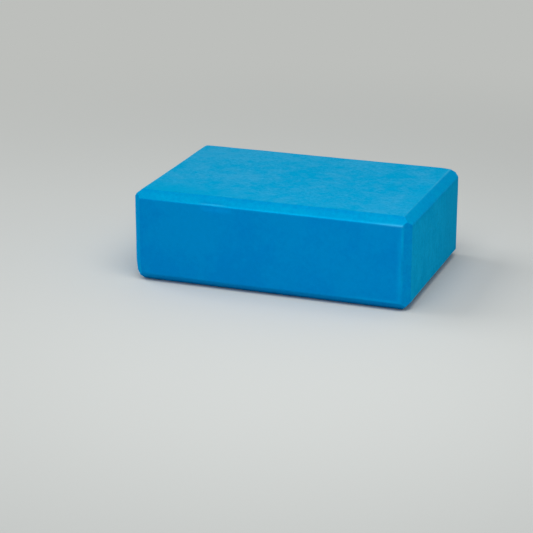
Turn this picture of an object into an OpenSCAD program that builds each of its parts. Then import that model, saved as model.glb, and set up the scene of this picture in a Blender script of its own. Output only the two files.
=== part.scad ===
// Foam exercise block: one solid brick of closed-cell foam.
//
// All twelve edges carry the same flat 45 degree bevel, and where three
// bevels meet at a corner they run into each other as mitres. Each crease
// between a face and its bevel is softened by a small radius.
//
// Units are millimetres. The block rests flat on one of its two largest
// faces, centred on X and Y, with that face at Z = 0.

/* [Block] */
// Length along X, over the two ends
block_length = 228.6; // [150:0.1:320]
// Width along Y, over the two long sides
block_width = 152.4; // [90:0.1:220]
// Height along Z, from the underside to the top face
block_height = 75; // [40:0.1:120]

/* [Edges] */
// Leg of the bevel, measured along each face from the edge it replaces
edge_bevel = 6.35; // [3:0.05:15]
// Radius of the softened crease between a face and a bevel
crease_radius = 1; // [0.2:0.1:3]

/* [Hidden] */

// A flat bevel turns the surface twice by this angle, once at each crease
crease_turn = 45;
// Distance from the sharp line of a crease to the start of its rounding
crease_run = crease_radius * tan(crease_turn / 2);
// Distance from the sharp line of a crease in to the centre of its arc
crease_inset = crease_radius / cos(crease_turn / 2);
// Length by which each profile runs past the block before it is cut
overrun = 10;
// Segments of a full circle, for the small arcs at the creases
$fn = 96;

// The point that lies a given distance from one point towards another
function toward(start, end, distance) =
  start + distance * (end - start) / norm(end - start);

// The eight corners of a bevelled rectangle, counter-clockwise
function bevelled_corners(size) =
  let (x = size.x / 2, y = size.y / 2, b = edge_bevel)
  [
    [x, y - b], [x - b, y],
    [b - x, y], [-x, y - b],
    [-x, b - y], [b - x, -y],
    [x - b, -y], [x, b - y]
  ];

// Outline of a bevelled rectangle of the given size, centred on the origin.
// Every corner is an arc that leaves both of its sides tangentially.
module soft_bevelled_rectangle(size) {
  corners = bevelled_corners(size);
  count = len(corners);
  before = [for (i = [0:count - 1]) corners[(i + count - 1) % count]];
  after = [for (i = [0:count - 1]) corners[(i + 1) % count]];
  polygon([
    for (i = [0:count - 1])
      each [
        toward(corners[i], before[i], crease_run),
        toward(corners[i], after[i], crease_run)
      ]
  ]);
  for (i = [0:count - 1]) {
    inward = toward([0, 0], toward([0, 0], before[i] - corners[i], 1)
                          + toward([0, 0], after[i] - corners[i], 1), 1);
    translate(corners[i] + crease_inset * inward)
      circle(r = crease_radius);
  }
}

// A bar with the softened outline, centred on the origin and lying along Z
module bevelled_bar(size, length) {
  linear_extrude(height = length + 2 * overrun, center = true)
    soft_bevelled_rectangle(size);
}

// The block is what three bars have in common, one along each axis. Each
// bar bevels the four edges that run its way.
module foam_block() {
  color("#0091cc")
    translate([0, 0, block_height / 2])
      intersection() {
        bevelled_bar([block_length, block_width], block_height);
        rotate([90, 0, 90])
          bevelled_bar([block_width, block_height], block_length);
        rotate([90, 0, 0])
          bevelled_bar([block_length, block_height], block_width);
      }
}

foam_block();
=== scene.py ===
# %% [markdown]
# # An exercise block of closed-cell foam
#
# The object is one brick of blue foam, small enough to hold in one hand, with a flat bevel
# along every edge. The construction model holds its true size and place, so it is loaded
# first as a fixed frame, and the dressed block is built to it.

import math

import bmesh
import bpy
import numpy as np
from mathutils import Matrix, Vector


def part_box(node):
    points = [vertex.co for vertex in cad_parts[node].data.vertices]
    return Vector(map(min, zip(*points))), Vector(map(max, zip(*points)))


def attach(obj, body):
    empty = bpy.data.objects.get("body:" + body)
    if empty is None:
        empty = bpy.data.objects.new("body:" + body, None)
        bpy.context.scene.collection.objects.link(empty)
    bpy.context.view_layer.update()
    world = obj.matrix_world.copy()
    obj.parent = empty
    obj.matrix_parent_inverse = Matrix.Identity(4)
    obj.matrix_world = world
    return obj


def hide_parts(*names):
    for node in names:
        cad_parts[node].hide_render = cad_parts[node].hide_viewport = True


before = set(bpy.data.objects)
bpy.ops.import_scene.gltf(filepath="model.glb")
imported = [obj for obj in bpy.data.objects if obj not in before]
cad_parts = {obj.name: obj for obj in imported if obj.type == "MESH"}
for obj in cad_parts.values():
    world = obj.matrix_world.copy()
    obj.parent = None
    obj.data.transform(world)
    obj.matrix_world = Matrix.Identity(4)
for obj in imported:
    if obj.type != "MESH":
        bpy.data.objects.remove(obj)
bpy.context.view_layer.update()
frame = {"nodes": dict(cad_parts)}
MM = 0.001
block_low, block_high = (Vector(corner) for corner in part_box("foam_block"))
block_size = block_high - block_low
block_middle = (block_low + block_high) / 2
half_size = block_size / 2
print("construction nodes:", ", ".join(frame["nodes"]))
print("block to be dressed, mm:", [round(side / MM, 1) for side in block_size])

# %% [markdown]
# ## The brick and its bevels
#
# A real block is sawn from a thick sheet of EVA foam, and then a hot wire skims each of its
# twelve edges down to a flat bevel. It could be drawn as a list of points, but a cube with
# one bevel on all its edges is the same two steps as in the workshop, and keeps every face
# flat. The foam needs a fine mesh later, so that it can be dented and softened, but the
# bevel comes first, because it is cleanest on a mesh with few edges.


# %% Helpers for picking parts of a mesh by place
def pick(piece, kind, test):
    """Selects only the verts, edges or faces of a piece in edit mode that pass a test."""
    bpy.ops.mesh.select_all(action="DESELECT")
    bpy.ops.mesh.select_mode(type={"verts": "VERT", "edges": "EDGE", "faces": "FACE"}[kind])
    drawn = bmesh.from_edit_mesh(piece.data)
    chosen = [element for element in getattr(drawn, kind) if test(element)]
    for element in chosen:
        element.select_set(True)
    drawn.select_flush_mode()
    bmesh.update_edit_mesh(piece.data)
    return len(chosen)


def depth(point):
    """How far a point lies in from the block's outer box, along each axis."""
    offset = point - block_middle
    return Vector(half_size[axis] - abs(offset[axis]) for axis in range(3))


# %% Cut the brick and bevel its edges
BEVEL_LEG = 6.35 * MM
# At this profile a bevel of two segments lies flat, and each corner gets a middle point.
FLAT_PROFILE = 0.25

bpy.ops.object.select_all(action="DESELECT")
bpy.ops.mesh.primitive_cube_add(size=1, location=block_middle, scale=block_size)
block = bpy.context.object
block.name = "soft_block"
bpy.ops.object.transform_apply(location=True, rotation=True, scale=True)
bpy.ops.object.mode_set(mode="EDIT")
bpy.ops.mesh.select_all(action="SELECT")
bpy.ops.mesh.bevel(offset=BEVEL_LEG, segments=2, profile=FLAT_PROFILE, affect="EDGES")
print("faces after bevelling:", len(bmesh.from_edit_mesh(block.data).faces))

# %% [markdown]
# ## Mitred corners
#
# Where three flat bevels meet, they run on to one point, as mitred mouldings do. The bevel
# operator leaves each corner a little blunt, so the middle point of every corner is drawn
# out until the three bevels are flat again, and the corner is cut along its mitres.

# %% Draw each corner out to the point where its three bevels meet
BLUNT_DEPTH = BEVEL_LEG * 2 / 3
MITRED_DEPTH = BEVEL_LEG / 2

corner_points = pick(
    block, "verts",
    lambda vert: min(depth(vert.co)) > MITRED_DEPTH and max(depth(vert.co)) < BEVEL_LEG,
)
stretch = [(half - MITRED_DEPTH) / (half - BLUNT_DEPTH) for half in half_size]
bpy.ops.transform.resize(value=stretch, center_override=block_middle)
corner_faces = pick(block, "faces", lambda face: max(depth(face.calc_center_median())) < BEVEL_LEG)
bpy.ops.mesh.quads_convert_to_tris(quad_method="LONGEST_DIAGONAL")
print("corners drawn out:", corner_points, "- faces cut along their mitres:", corner_faces)

# %% [markdown]
# ## A mesh fine enough for foam
#
# Foam shows dents only a few millimetres across, so the faces are divided into squares of
# about a millimetre and a half. A voxel remesh would do that in one step, but it would blur
# the creases of the bevels, so the long edges are sliced instead.

# %% Divide the bevels and faces finely
CELL = 1.4 * MM
LONG_EDGE = 10 * CELL
BEVEL_CUTS = 3
# Subdivide makes a hundred cuts at the most, so a run that needs more is halved first.
MOST_CUTS = 100
ALMOST_ALL = 0.99

pick(block, "edges", lambda edge: edge.calc_length() < BEVEL_LEG)
bpy.ops.mesh.subdivide(number_cuts=BEVEL_CUTS)


def slice_across(axis):
    """Cuts the long edges that run along one axis into pieces of about one cell."""

    def runs_along(edge):
        run = edge.verts[1].co - edge.verts[0].co
        return run.length > LONG_EDGE and abs(run[axis]) > ALMOST_ALL * run.length

    if 2 * (half_size[axis] - BEVEL_LEG) > MOST_CUTS * CELL:
        pick(block, "edges", runs_along)
        bpy.ops.mesh.subdivide(number_cuts=1)
    pick(block, "edges", runs_along)
    longest = max(edge.calc_length() for edge in bmesh.from_edit_mesh(block.data).edges if edge.select)
    bpy.ops.mesh.subdivide(number_cuts=min(MOST_CUTS, round(longest / CELL) - 1))


for axis in range(3):
    slice_across(axis)
print("faces after slicing:", len(bmesh.from_edit_mesh(block.data).faces))

# %% [markdown]
# ## Softened creases and corners
#
# Cut foam springs back, so no crease stays knife sharp. A second, very small bevel with
# several segments rounds each crease to a radius of about a millimetre. The corners have
# been knocked more often than the creases, and a Smooth modifier that reaches only the
# corners wears them rounder. The top corner at the far right has been knocked most, so a
# second one reaches further round it.

# %% Round the creases
CREASE_RUN = 0.45 * MM
CREASE_STEPS = 4
ROUND_PROFILE = 0.5
CREASE_TURN = math.radians(45)
SHARP = math.radians(20)

bpy.ops.mesh.select_all(action="DESELECT")
bpy.ops.mesh.select_mode(type="EDGE")
bpy.ops.mesh.edges_select_sharp(sharpness=SHARP)
bpy.ops.mesh.bevel(offset=CREASE_RUN, segments=CREASE_STEPS, profile=ROUND_PROFILE, affect="EDGES")
bpy.ops.object.mode_set(mode="OBJECT")
print("crease radius, mm:", round(CREASE_RUN / math.tan(CREASE_TURN / 2) / MM, 2))


# %% Helpers for points, weights and modifiers
def block_points():
    """The block's points as rows of x, y, z, measured from its middle."""
    points = np.empty(3 * len(block.data.vertices))
    block.data.vertices.foreach_get("co", points)
    return points.reshape(-1, 3) - np.array(block_middle)


LEAST_WEIGHT = 0.001


def weight_group(name, weights):
    """Stores one weight per point in a vertex group, for a modifier to read."""
    group = block.vertex_groups.new(name=name)
    for index, weight in enumerate(weights):
        if weight > LEAST_WEIGHT:
            group.add([index], float(weight), "REPLACE")
    return group.name


def add_modifier(kind, name, **settings):
    """Adds a modifier to the block, sets it and applies it."""
    modifier = block.modifiers.new(name, kind)
    for setting, value in settings.items():
        setattr(modifier, setting, value)
    bpy.ops.object.modifier_apply(modifier=modifier.name)


# %% Wear the corners rounder
FULLY_WORN = 1 / 3

mitred_corner = Vector(half - MITRED_DEPTH for half in half_size)


def wear(title, corners, reach, passes):
    """Smooths the block near the nearest of some corners, given by their signs.

    The wear is full over the inner part of its reach, and fades out over the rest.
    """
    away = [
        np.linalg.norm(block_points() - np.array(corner) * np.array(mitred_corner), axis=1)
        for corner in corners
    ]
    nearest = np.min(away, axis=0) / reach
    worn = weight_group(title, np.clip((1 - nearest) / (1 - FULLY_WORN), 0, 1))
    add_modifier("SMOOTH", title, factor=0.5, iterations=passes, vertex_group=worn)
    print(title, "- points smoothed:", int((nearest < 1).sum()))


FAR_CORNER = (1, 1, 1)
EVERY_CORNER = [(x, y, z) for x in (-1, 1) for y in (-1, 1) for z in (-1, 1)]

wear("every corner", EVERY_CORNER, reach=5 * MM, passes=2)
wear("far corner", [FAR_CORNER], reach=12 * MM, passes=14)

# %% [markdown]
# ## Wear, painted highlights and painted shade along the creases
#
# Five kinds of mark vary the surface, and most of them carry painted light. Hands and shelves
# rub the creases brighter, and the same lines hold painted highlights where a rounded crease
# catches the light, painted fainter towards the floor as painted shade, with painted bounce
# light near the right end. A painted sheen on the wide face is made thinner along its near
# and right edges and thicker at the far left. A few knocks have marked the creases, and their
# pale lines, with some along the top of the right end and at its foot, are painted highlights.
# A narrow rim beside some creases is painted deeper in colour, as painted shade.
#
# They could be painted by hand, but they all follow the creases, so each is worked out from
# its distance to a crease, and every point keeps the result as an attribute that the finish
# reads. The block is the same in all eight of its corners, so folding it into one leaves
# only six creases to measure.

# %% Measure how near each point is to a crease
LENGTH, WIDTH, HEIGHT = range(3)
points = block_points()
folded = np.abs(points)
flat_half = np.array(half_size) - BEVEL_LEG
print("points to be marked:", len(points))

# %% Name the planes and lines that marks and dents are placed by, in millimetres
# The flat of a face ends where its bevels begin, and a mitred corner lies halfway down them.
LEG = BEVEL_LEG / MM
END, SIDE, TOP = (plane / MM for plane in block_high)
FLAT_END, FLAT_SIDE, FLAT_TOP = END - LEG, SIDE - LEG, TOP - LEG
CORNER_END, CORNER_SIDE, CORNER_TOP = END - LEG / 2, SIDE - LEG / 2, TOP - LEG / 2
print("right end, far side and top, mm:", round(END, 1), round(SIDE, 1), round(TOP, 1))


# %% Helpers that mark the points near a crease
def crease_marks(face_axis, side_axis, width, down_bevel, strength=0.0, spots=()):
    """Marks every point by its nearness to a line along one kind of crease, in millimetres.

    The crease lies between the face across face_axis and the bevel that leads over to the
    side across side_axis. The line runs some way down that bevel, or in on the face where
    down_bevel is negative. Each spot changes the strength round one place: it holds the
    place, how far it reaches and how much it adds.
    """
    run_axis = 3 - face_axis - side_axis
    drop = max(down_bevel, 0) / math.sqrt(2)
    off_face = (folded[:, face_axis] - half_size[face_axis]) / MM + drop
    off_line = (folded[:, side_axis] - flat_half[side_axis]) / MM - (drop or down_bevel)
    past_end = np.maximum(folded[:, run_axis] - flat_half[run_axis], 0) / MM
    near = np.exp(-(off_face ** 2 + off_line ** 2 + past_end ** 2) / width ** 2)
    strengths = np.full(len(points), float(strength))
    for place, reach, extra in spots:
        away = np.linalg.norm(points - np.array(Vector(place) * MM - block_middle), axis=1) / MM
        strengths += extra * np.exp(-((away / reach) ** 2))
    return near * np.clip(strengths, 0, 1)


SHOWS = 0.1


def keep_marks(name, *lines):
    """Keeps the strongest of several lines of marks as an attribute that the finish reads."""
    marks = np.maximum.reduce(lines)
    block.data.attributes.new(name, "FLOAT", "POINT").data.foreach_set("value", marks)
    print(name, "points:", int((marks > SHOWS).sum()))


# %% Rub the creases, and paint highlights, shade and bounce light on them
LOW_SHARE = 0.3
KNOCK = (-47, -SIDE, FLAT_TOP)
NEAR_LEFT_TOP = (-105, -SIDE, FLAT_TOP)
NEAR_RIGHT_HIGH = (FLAT_END, -SIDE, 55)
NEAR_RIGHT_MIDDLE = (FLAT_END, -SIDE, 30)
NEAR_RIGHT_LOW = (FLAT_END, -SIDE, 20)
NEAR_RIGHT_FOOT = (95, -SIDE, LEG)

# The lines are painted fainter towards the floor, as painted shade.
top_share = points[:, HEIGHT] / (2 * half_size[HEIGHT]) + 0.5
lit_by_height = LOW_SHARE + (1 - LOW_SHARE) * top_share
# Partly real rub and partly painted highlight where a rounded crease catches the light.
keep_marks(
    "rubbed_and_highlit",
    lit_by_height * crease_marks(
        WIDTH, HEIGHT, width=0.9, down_bevel=0.5, strength=0.3,
        spots=[(NEAR_LEFT_TOP, 40, -0.25), (KNOCK, 9, -0.1)],
    ),
    lit_by_height * crease_marks(
        WIDTH, LENGTH, width=1.2, down_bevel=0.6, strength=0.13,
        spots=[(NEAR_RIGHT_HIGH, 14, 0.25), (NEAR_RIGHT_LOW, 10, 0.35)],
    ),
    # These two broad lines, on the near side by the right end and along the foot, are painted bounce light.
    crease_marks(
        WIDTH, LENGTH, width=2.6, down_bevel=-1.0, strength=0.02, spots=[(NEAR_RIGHT_MIDDLE, 45, 0.16)]
    ),
    crease_marks(WIDTH, HEIGHT, width=1.8, down_bevel=-1.0, spots=[(NEAR_RIGHT_FOOT, 40, 0.18)]),
    crease_marks(WIDTH, HEIGHT, width=0.6, down_bevel=1.2, spots=[(KNOCK, 10, 0.34)]),
)

# %% Paint the sheen thinner along the edges of the wide face, and thicker at the far left
# A painted sheen: it is made thinner along the near and right edges of the wide face, and thicker at the
# far left.
NEAR_LEFT_RIM = (-85, -FLAT_SIDE, TOP)
NEAR_RIM = (40, -FLAT_SIDE, TOP)
RIGHT_RIM = (FLAT_END, -20, TOP)
FAR_LEFT_RIM = (-70, FLAT_SIDE, TOP)

keep_marks(
    "less_sheen",
    crease_marks(
        HEIGHT, WIDTH, width=27, down_bevel=-4, spots=[(NEAR_LEFT_RIM, 50, 0.9), (NEAR_RIM, 90, 0.3)]
    ),
    crease_marks(HEIGHT, LENGTH, width=12, down_bevel=-3, spots=[(RIGHT_RIM, 55, 0.45)]),
)
keep_marks(
    "more_sheen", crease_marks(HEIGHT, WIDTH, width=38, down_bevel=-5, spots=[(FAR_LEFT_RIM, 60, 0.5)])
)

# %% Mark the knocked creases and paint their highlights
# Painted highlights on the knock, by the near right top corner and along the top of the right end, over
# partly real scuffs, and a painted line of bounce light at the foot of the right end.
NEAR_RIGHT_TOP = (FLAT_END, -SIDE, FLAT_TOP)
NICK_HIGHLIGHTS_AT_KNOCK = [((x, -SIDE, FLAT_TOP), reach, extra) for x, reach, extra in (
    (-53, 3.5, 0.12), (-45, 3.5, 0.14), (-39, 4, 0.09),
)]
HIGHLIGHTS_ALONG_END = [((FLAT_END, y, TOP), reach, extra) for y, reach, extra in (
    (66, 18, 0.2), (26, 14, 0.1),
)]
BOUNCE_LIGHT_AT_FOOT = [((END, y, LEG), reach, extra) for y, reach, extra in (
    (-52, 36, 0.4), (30, 45, 0.2),
)]

keep_marks(
    "scuffed_and_highlit",
    crease_marks(WIDTH, HEIGHT, width=0.7, down_bevel=0.3, spots=[(NEAR_RIGHT_TOP, 17, 0.3)]),
    crease_marks(WIDTH, HEIGHT, width=0.55, down_bevel=1.2, spots=NICK_HIGHLIGHTS_AT_KNOCK),
    crease_marks(HEIGHT, LENGTH, width=0.7, down_bevel=-0.3, strength=0.05, spots=HIGHLIGHTS_ALONG_END),
    crease_marks(LENGTH, HEIGHT, width=0.6, down_bevel=0, spots=BOUNCE_LIGHT_AT_FOOT),
)

# %% Paint shade on the rims beside the creases
# Painted shade: narrow rims beside the creases, and the left upright bevel, are made darker.
NEAR_LEFT_UPRIGHT = (-CORNER_END, -CORNER_SIDE, TOP / 2)

keep_marks(
    "shaded_rims",
    crease_marks(HEIGHT, WIDTH, width=1.9, down_bevel=0.9, strength=1),
    crease_marks(LENGTH, HEIGHT, width=2.2, down_bevel=-1.3, strength=0.8),
    crease_marks(WIDTH, LENGTH, width=2.6, down_bevel=2.0, spots=[(NEAR_LEFT_UPRIGHT, 60, 1.0)]),
)

# %% [markdown]
# ## Waves and dents
#
# Sawn foam is never quite flat. Two Displace modifiers with cloud textures give it broad
# waves of a quarter of a millimetre and closer ones of under a tenth. The weight of the
# block flattens its base, so the waves fade out towards the floor.
#
# The dents that handling has left are pulled with proportional editing, as a sculptor would
# push soft clay: the nearest points are moved, and the foam round them follows less and
# less. Most dents start from one place, and the knocked crease from a short line. The bevel
# at the left runs a little shallower towards its far end, which is one very wide pull.

# %% Give the faces the waviness of sawn foam
PRESSED_FLAT = 5 * MM
WAVES = {"broad waves": (55 * MM, 0.5 * MM), "close waves": (16 * MM, 0.16 * MM)}

above_floor = block_points()[:, HEIGHT] + half_size[HEIGHT]
free = weight_group("free of the floor", np.clip(above_floor / PRESSED_FLAT, 0, 1))
for title, (size, height) in WAVES.items():
    swell = bpy.data.textures.new(title, "CLOUDS")
    swell.noise_scale = size
    add_modifier(
        "DISPLACE", title,
        texture=swell, strength=height, mid_level=0.5, texture_coords="LOCAL", vertex_group=free,
    )
block.vertex_groups.clear()
moved = block_points()
print("waves, mm: stands out by", round((np.abs(moved).max(axis=0) - np.array(half_size)).max() / MM, 2))

# %% Plan the dents that handling has left
LOW_NEAR_CORNER = (-CORNER_END, -CORNER_SIDE, LEG / 2)
NEAR_LEFT_CORNER = (-CORNER_END, -CORNER_SIDE, CORNER_TOP)
LEFT_TOP_CORNER = (-CORNER_END, CORNER_SIDE, CORNER_TOP)
FAR_TOP_CORNER = (FLAT_END, FLAT_SIDE, TOP)
# Each holds its middle, how far it runs each way along the block, its push and its reach, in mm.
DENTS = {
    "low near corner pressed in": (LOW_NEAR_CORNER, 0, (0.9, 0.5, 0.0), 13),
    "far top corner knocked round": (FAR_TOP_CORNER, 0, (-0.3, -0.2, -0.4), 8),
    "left top corner pressed blunt": (LEFT_TOP_CORNER, 0, (0.3, -0.3, -0.5), 9),
    "left bevel cut shallower at its far end": (LEFT_TOP_CORNER, 0, (-0.9, 0.0, 0.0), 110),
    "near left corner left full": (NEAR_LEFT_CORNER, 0, (-0.25, -0.25, 0.25), 4),
    "near crease knocked flat": ((-43, -SIDE, FLAT_TOP), 9, (0.0, 0.75, -0.3), 5),
}
print("dents planned:", len(DENTS))

# %% Press the dents into the foam
TOUCH = 0.5 * MM


def away_from(point, middle, run):
    """How far a point lies from a line along the block, which runs both ways from its middle."""
    offset = point - Vector(middle) * MM
    offset.x = max(abs(offset.x) - run * MM, 0)
    return offset.length


bpy.ops.object.mode_set(mode="EDIT")
for title, (middle, run, push, reach) in DENTS.items():
    nearest = min(away_from(vert.co, middle, run) for vert in bmesh.from_edit_mesh(block.data).verts)
    pressed = pick(block, "verts", lambda vert: away_from(vert.co, middle, run) < nearest + TOUCH)
    bpy.ops.transform.translate(
        value=Vector(push) * MM,
        use_proportional_edit=True,
        proportional_edit_falloff="SMOOTH",
        proportional_size=reach * MM,
    )
    print(title, "- points pressed:", pressed)
bpy.ops.object.mode_set(mode="OBJECT")
bpy.ops.object.shade_smooth()
print("triangles:", sum(len(face.vertices) - 2 for face in block.data.polygons))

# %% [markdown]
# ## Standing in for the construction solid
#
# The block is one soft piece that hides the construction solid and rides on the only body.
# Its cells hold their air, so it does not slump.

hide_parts("foam_block")
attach(block, "root")
print("declared:", block.name)

# %% [markdown]
# ## The foam's finish
#
# The block is closed-cell EVA foam, dyed right through with a strong cyan-blue pigment. Its
# cells are a few tenths of a millimetre across and cut open at the surface, which makes it
# dead matt, with a faint sheen of the pigment's own colour at a low angle. The wide faces and
# the ends were sawn and show a mottle of coarser and finer cells, and the long sides and the
# bevels were skimmed by a hot wire and are smoother. Each kind of face and bevel has its own
# tone, paler and greener on the sawn faces and a deeper blue on the sides, which is partly
# the foam's own and partly painted light and shade for how that face is lit. All of it is one
# material, which asks each point which way it faces.


# %% Helpers for colours and nodes
def linear(code):
    """An sRGB hex colour as the linear colour that a shader takes."""
    parts = [int(code[start:start + 2], 16) / 255 for start in (1, 3, 5)]
    return [part / 12.92 if part <= 0.04045 else ((part + 0.055) / 1.055) ** 2.4 for part in parts] + [1]


def add_node(tree, kind, inputs, **settings):
    """Adds a node with its settings, and fills its inputs, named or numbered.

    An input takes a number or a list of them, a hex colour, a socket to link, or a node,
    whose first live output is linked.
    """
    node = tree.nodes.new("ShaderNode" + kind)
    for setting, value in settings.items():
        setattr(node, setting, value)
    for name, value in inputs.items():
        socket = node.inputs[name] if isinstance(name, int) else next(
            entry for entry in node.inputs if entry.name == name and entry.enabled
        )
        if isinstance(value, bpy.types.Node):
            value = next(output for output in value.outputs if output.enabled)
        if isinstance(value, bpy.types.NodeSocket):
            tree.links.new(value, socket)
        else:
            socket.default_value = linear(value) if isinstance(value, str) else value
    return node


def new_tree(owner):
    """The empty node tree of a material or a world."""
    owner.use_nodes = True
    owner.node_tree.nodes.clear()
    return owner.node_tree


# %% Start the foam material
foam = bpy.data.materials.new("closed_cell_eva_foam")
foam_tree = new_tree(foam)
coordinates = add_node(foam_tree, "TexCoord", {}).outputs
place = add_node(foam_tree, "SeparateXYZ", {"Vector": coordinates["Object"]}).outputs
SOFT = "SMOOTHSTEP"


def coat(tone, colour, where, low=0.0, high=1.0, most=1.0, edge="LINEAR", mode="MIX"):
    """Lays a colour over a tone, from bare where a value is low to most where it is high."""
    cover = add_node(
        foam_tree, "MapRange",
        {"Value": where, "From Min": low, "From Max": high, "To Max": most},
        interpolation_type=edge,
    )
    return add_node(
        foam_tree, "Mix", {"Factor": cover, "A": tone, "B": colour}, data_type="RGBA", blend_type=mode
    )


print("coordinates of the foam:", ", ".join(output.name for output in place))

# %% [markdown]
# ### Which way a point faces
#
# The normal's size along each axis is near one on that pair of faces and 0.7 on a bevel, so
# a smooth step between the two tells wide face, long side, end and bevel apart, and the
# change of tone falls on the rounded crease, where the real one is.

# %% Tell the faces apart
BEVEL_SIDE, FACE_SIDE = 0.80, 0.96

facing = add_node(foam_tree, "SeparateXYZ", {"Vector": coordinates["Normal"]}).outputs
outward = add_node(foam_tree, "VectorMath", {0: coordinates["Normal"]}, operation="ABSOLUTE")
along = add_node(foam_tree, "SeparateXYZ", {"Vector": outward}).outputs
on_end, on_side, on_wide = (
    add_node(
        foam_tree, "MapRange",
        {"Value": along[letter], "From Min": BEVEL_SIDE, "From Max": FACE_SIDE},
        interpolation_type=SOFT,
    )
    for letter in "XYZ"
)
print("nodes that tell the faces apart:", len(foam_tree.nodes))

# %% [markdown]
# ### Clouds, mottle, saw lines and cells
#
# Four patterns carry the surface. Clouds half a hand wide and a mottle of patches about a
# centimetre across come from foam that has risen unevenly. The saw lines stand upright on
# the ends, about five millimetres apart. The cells themselves are 0.3 mm across, too fine
# to show, so they are drawn as the clusters of larger and smaller cells that the eye picks
# out, three millimetres across with finer ones inside them.

# %% Make the four patterns and mix them
# Each holds its stretch along x, y and z, the size of a feature, and how many times and how
# strongly finer features are laid over it.
PATTERNS = {
    "cloud": ((1, 1, 1), 50 * MM, 1, 0.5),
    "mottle": ((1, 1, 1), 12 * MM, 5, 0.85),
    "saw lines": ((1, 1, 7), 5 * MM, 2, 0.7),
    "cell clusters": ((1, 1, 1), 3 * MM, 3, 0.8),
}
# Each holds a pattern, another that is laid over it, and the share of that one.
MIXTURES = {
    "patches": ("mottle", "cloud", 0.35),
    "broad patches": ("mottle", "cloud", 1.0),
    "streaks": ("mottle", "saw lines", 0.6),
}

pattern = {}
for name, (stretch, feature, times, strength) in PATTERNS.items():
    squeezed = add_node(
        foam_tree, "Mapping", {"Vector": coordinates["Object"], "Scale": [1 / amount for amount in stretch]}
    )
    pattern[name] = add_node(
        foam_tree, "TexNoise",
        {"Vector": squeezed, "Scale": 1 / feature, "Detail": times, "Roughness": strength},
    )
for name, (under, over, share) in MIXTURES.items():
    pattern[name] = add_node(
        foam_tree, "Math", {0: pattern[over], 1: share, 2: pattern[under]}, operation="MULTIPLY_ADD"
    )
print("patterns:", ", ".join(pattern))

# %% Read the marks that the points keep
marked = {
    name: add_node(foam_tree, "Attribute", {}, attribute_name=name).outputs["Fac"]
    for name in ("rubbed_and_highlit", "less_sheen", "more_sheen", "scuffed_and_highlit", "shaded_rims")
}
print("marks:", ", ".join(marked))

# %% [markdown]
# ### Colours of the faces
#
# The pigment is so strong that it gives back almost no red. The sawn faces get pale patches
# that add a little red; they follow the mottle of the cells, but the pale colour is a painted
# sheen. The ends are painted darker from the middle to the far side, as painted shade. The
# bevels are one blue with a slightly different tone on each kind of edge, set for how each is
# lit, which is painted light, and the ones underneath are a darker, deeper blue as painted shade.

# %% Colour the wide faces
# The pale patches are a painted sheen laid in the mottle, made thinner near some rims and thicker at the
# far left.
SAWN_BLUE = "#009CD2"
PAINTED_SHEEN = "#31A1D4"
LESS_SHEEN_BLUE = "#009ED3"
THICKER = 0.2

sheen_patches = add_node(
    foam_tree, "Math", {0: marked["more_sheen"], 1: THICKER, 2: pattern["patches"]}, operation="MULTIPLY_ADD"
)
wide_tone = coat(SAWN_BLUE, PAINTED_SHEEN, sheen_patches, low=0.52, high=0.85, edge=SOFT)
wide_tone = coat(wide_tone, LESS_SHEEN_BLUE, marked["less_sheen"])
print("wide faces:", SAWN_BLUE, "to", PAINTED_SHEEN)

# %% Colour the long sides and the ends
# The deeper blue of the sides is partly painted blue bounce light.
SIDE_BLUE = "#008DDA"
SIDE_PALE = "#0094DD"
END_BLUE = "#009AE0"
END_PALE = "#0EAAEC"
# Painted shade: the ends turn darker and duller from the middle to the far side.
END_SHADE = "#0D95D6"
SHADE_FROM, SHADE_TO = 0 * MM, 80 * MM

side_tone = coat(SIDE_BLUE, SIDE_PALE, pattern["broad patches"], low=0.8, high=1.2, edge=SOFT)
end_tone = coat(END_BLUE, END_PALE, pattern["streaks"], low=0.6, high=1.0, edge=SOFT)
end_tone = coat(end_tone, END_SHADE, place["Y"], low=SHADE_FROM, high=SHADE_TO, most=0.7, edge=SOFT)
print("sides:", SIDE_BLUE, "to", SIDE_PALE, "- ends:", END_BLUE, "to", END_PALE)

# %% Colour the bevels
# Each kind of bevel has a tone set for how it is lit, which is painted light; the ones underneath are a
# darker, deeper blue as painted shade.
UPRIGHT_BLUE = "#009EE4"
CROSS_BLUE = "#00A2DB"
UNDERSIDE_SHADE_BLUE = "#0096DF"
UPPER_BLUE = "#00A2D9"
LESS_GREEN = "#FFF4FF"

bevel_tone = coat(UNDERSIDE_SHADE_BLUE, UPPER_BLUE, facing["Z"], low=-0.5, high=0.5, edge=SOFT)
bevel_tone = coat(CROSS_BLUE, bevel_tone, along["Y"], low=0.3, high=0.6, edge=SOFT)
bevel_tone = coat(UPRIGHT_BLUE, bevel_tone, along["Z"], low=0.3, high=0.6, edge=SOFT)
bevel_tone = coat(
    bevel_tone, LESS_GREEN, pattern["patches"], low=0.83, high=0.53, edge=SOFT, mode="MULTIPLY"
)
print("bevels:", ", ".join((UPRIGHT_BLUE, CROSS_BLUE, UNDERSIDE_SHADE_BLUE, UPPER_BLUE)))

# %% Put the faces together and lay the marks over them
# The rims are made deeper as painted shade; the rub colour and the scuff colour also stand for painted
# highlights.
CREASE_SHADE = "#00F4FA"
RUBBED_HIGHLIGHT_BLUE = "#00BEFD"
SCUFF_HIGHLIGHT = "#70D4FA"

tone = bevel_tone
for face_tone, on_face in ((wide_tone, on_wide), (side_tone, on_side), (end_tone, on_end)):
    tone = coat(tone, face_tone, on_face)
tone = coat(tone, CREASE_SHADE, marked["shaded_rims"], mode="MULTIPLY")
tone = coat(tone, RUBBED_HIGHLIGHT_BLUE, marked["rubbed_and_highlit"], high=0.5, edge=SOFT)
tone = coat(tone, SCUFF_HIGHLIGHT, marked["scuffed_and_highlit"])
print("nodes so far:", len(foam_tree.nodes))

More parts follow.
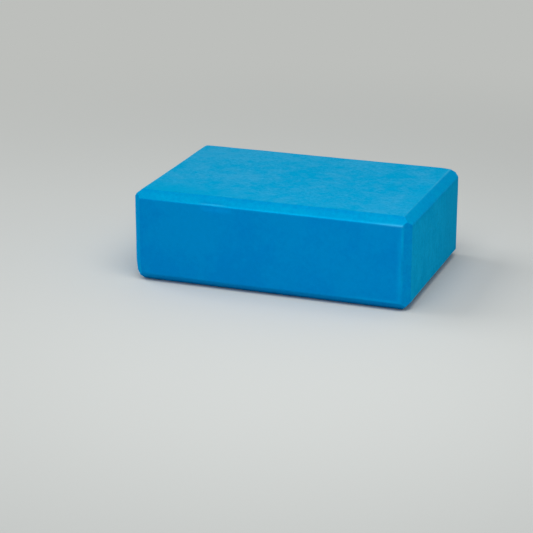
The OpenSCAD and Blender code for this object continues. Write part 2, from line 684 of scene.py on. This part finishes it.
# %% Speckle the cells and raise them slightly
CELL_SHADE = "#B8B8B8"
# How strongly the cells show on the bevels, and how much more or less on each kind of face.
ON_BEVELS = 0.45
MORE_ON_FACES = ((on_wide, 0.2), (on_side, -0.25), (on_end, 0.05))
CELL_RELIEF = 0.08 * MM

share = ON_BEVELS
for on_face, more in MORE_ON_FACES:
    share = add_node(foam_tree, "Math", {0: on_face, 1: more, 2: share}, operation="MULTIPLY_ADD")
speckle = coat(CELL_SHADE, "#FFFFFF", pattern["cell clusters"])
tone = coat(tone, speckle, share, mode="MULTIPLY")
relief = add_node(
    foam_tree, "Bump", {"Height": pattern["cell clusters"], "Strength": 1.0, "Distance": CELL_RELIEF}
)
print("cell relief, mm:", CELL_RELIEF / MM)

# %% Shade the foam
# Solid EVA has an IOR of 1.48 and a roughness near 0.5. Cut cells are rougher and trap the gloss,
# and their thin walls, seen at a low angle, give a faint sheen of the pigment's own colour.
surface = add_node(
    foam_tree, "BsdfPrincipled",
    {
        "Base Color": tone, "Roughness": 0.6, "IOR": 1.48, "Specular IOR Level": 0.001,
        "Sheen Weight": 0.4, "Sheen Roughness": 0.3, "Sheen Tint": "#00FFFF",
        "Normal": relief,
    },
)
add_node(foam_tree, "OutputMaterial", {"Surface": surface})
block.data.materials.clear()
block.data.materials.append(foam)
print("foam nodes:", len(foam_tree.nodes))

# %% [markdown]
# ## The studio
#
# The block stands on a wide matt floor. The floor keeps its shadow near the block, and far
# away it turns, for the eye alone, into the pale tone of the backdrop, so that no edge or
# horizon shows from any side. The light that it gives back stays that of a real floor.


# %% A helper for what only the eye should see
def seen_directly(tree):
    """One for what the camera, a reflection or a clear piece looks at, and nought for light."""
    rays = add_node(tree, "LightPath", {}).outputs
    seen = rays["Is Camera Ray"]
    for kind in ("Is Glossy Ray", "Is Transmission Ray"):
        seen = add_node(tree, "Math", {0: seen, 1: rays[kind]}, operation="MAXIMUM")
    return seen


# %% Lay the floor
FLOOR_SIZE = 12
FLOOR_MIDDLE = (0, -0.15, 0)

bpy.ops.object.select_all(action="DESELECT")
bpy.ops.mesh.primitive_plane_add(size=FLOOR_SIZE, location=FLOOR_MIDDLE)
floor = bpy.context.object
floor.name = "studio_floor"
print("floor, m:", FLOOR_SIZE)

# %% Paint the floor, and fade it into the backdrop
BACKDROP = "#BDBFBC"
FLOOR_TONE = "#CACDCB"
NEAR_FLOOR = 0.35
FAR_FLOOR = 0.95

paint = bpy.data.materials.new("matt_white_paint")
paint_tree = new_tree(paint)
painted = add_node(
    paint_tree, "BsdfPrincipled", {"Base Color": FLOOR_TONE, "Roughness": 0.9, "Specular IOR Level": 0.2}
)
floor_place = add_node(paint_tree, "TexCoord", {}).outputs["Object"]
distance = add_node(paint_tree, "VectorMath", {0: floor_place}, operation="LENGTH")
far_off = add_node(
    paint_tree, "MapRange",
    {"Value": distance, "From Min": NEAR_FLOOR, "From Max": FAR_FLOOR},
    interpolation_type=SOFT,
)
faded = add_node(paint_tree, "Math", {0: far_off, 1: seen_directly(paint_tree)}, operation="MULTIPLY")
glow = add_node(paint_tree, "Emission", {"Color": BACKDROP, "Strength": 1.0})
mixed = add_node(paint_tree, "MixShader", {"Fac": faded, 1: painted, 2: glow})
add_node(paint_tree, "OutputMaterial", {"Surface": mixed})
floor.data.materials.append(paint)
print("floor turns into the backdrop from", NEAR_FLOOR, "to", FAR_FLOOR, "m")

# %% Room light and backdrop
ROOM_LIGHT = 0.45

world = bpy.data.worlds.new("studio")
bpy.context.scene.world = world
world_tree = new_tree(world)
fill = add_node(world_tree, "Background", {"Color": "#FFFFFF", "Strength": ROOM_LIGHT})
backdrop = add_node(world_tree, "Background", {"Color": BACKDROP, "Strength": 1.0})
mixed = add_node(world_tree, "MixShader", {"Fac": seen_directly(world_tree), 1: fill, 2: backdrop})
add_node(world_tree, "OutputWorld", {"Surface": mixed})
print("room light:", ROOM_LIGHT)

# %% [markdown]
# ## Light
#
# The room itself is bright and gives most of the softness. A soft box hangs half a metre
# above the near long side and a little in front of it, to the right of its middle, so the
# light falls off gently to the left and the back. A broad one on the left opens the shadow
# side and throws a soft shadow to the right. Together they light the floor at about the
# level at which its colour is written.

# %% Lamps
# Each holds its place in metres, its size in metres and its power in watts.
LAMPS = {
    "key": ((0.130, -0.250, 0.557), 0.4, 1.82),
    "left": ((-1.556, 0, 1.556), 1.4, 18.2),
}
for name, (spot, size, watts) in LAMPS.items():
    bpy.ops.object.light_add(type="AREA", location=spot)
    lamp = bpy.context.object
    lamp.name = name
    lamp.data.shape = "SQUARE"
    lamp.data.size = size
    lamp.data.energy = watts
    lamp.rotation_euler = (block_middle - Vector(spot)).to_track_quat("-Z", "Y").to_euler()
    lamp.visible_camera = False
print("lamps:", ", ".join(LAMPS))

# %% [markdown]
# ## Camera
#
# A long lens stands about a metre and a half away, a little to the right of the long side
# and looking down on it, so that the wide face and the right end both show.

# %% Camera
AIM_POINT = Vector((-24.8, -10.0, 0.0)) * MM
CAMERA_AZIMUTH = math.radians(20)
CAMERA_ELEVATION = math.radians(19)
CAMERA_DISTANCE = 1489 * MM
CAMERA_LENS = 122.5

towards_camera = Vector((
    math.sin(CAMERA_AZIMUTH) * math.cos(CAMERA_ELEVATION),
    -math.cos(CAMERA_AZIMUTH) * math.cos(CAMERA_ELEVATION),
    math.sin(CAMERA_ELEVATION),
))
bpy.ops.object.camera_add(location=AIM_POINT + CAMERA_DISTANCE * towards_camera)
camera = bpy.context.object
camera.rotation_euler = (-towards_camera).to_track_quat("-Z", "Y").to_euler()
camera.data.lens = CAMERA_LENS
bpy.context.scene.camera = camera
bpy.context.scene.view_settings.view_transform = "Standard"
print("camera, m:", [round(part, 3) for part in camera.location])
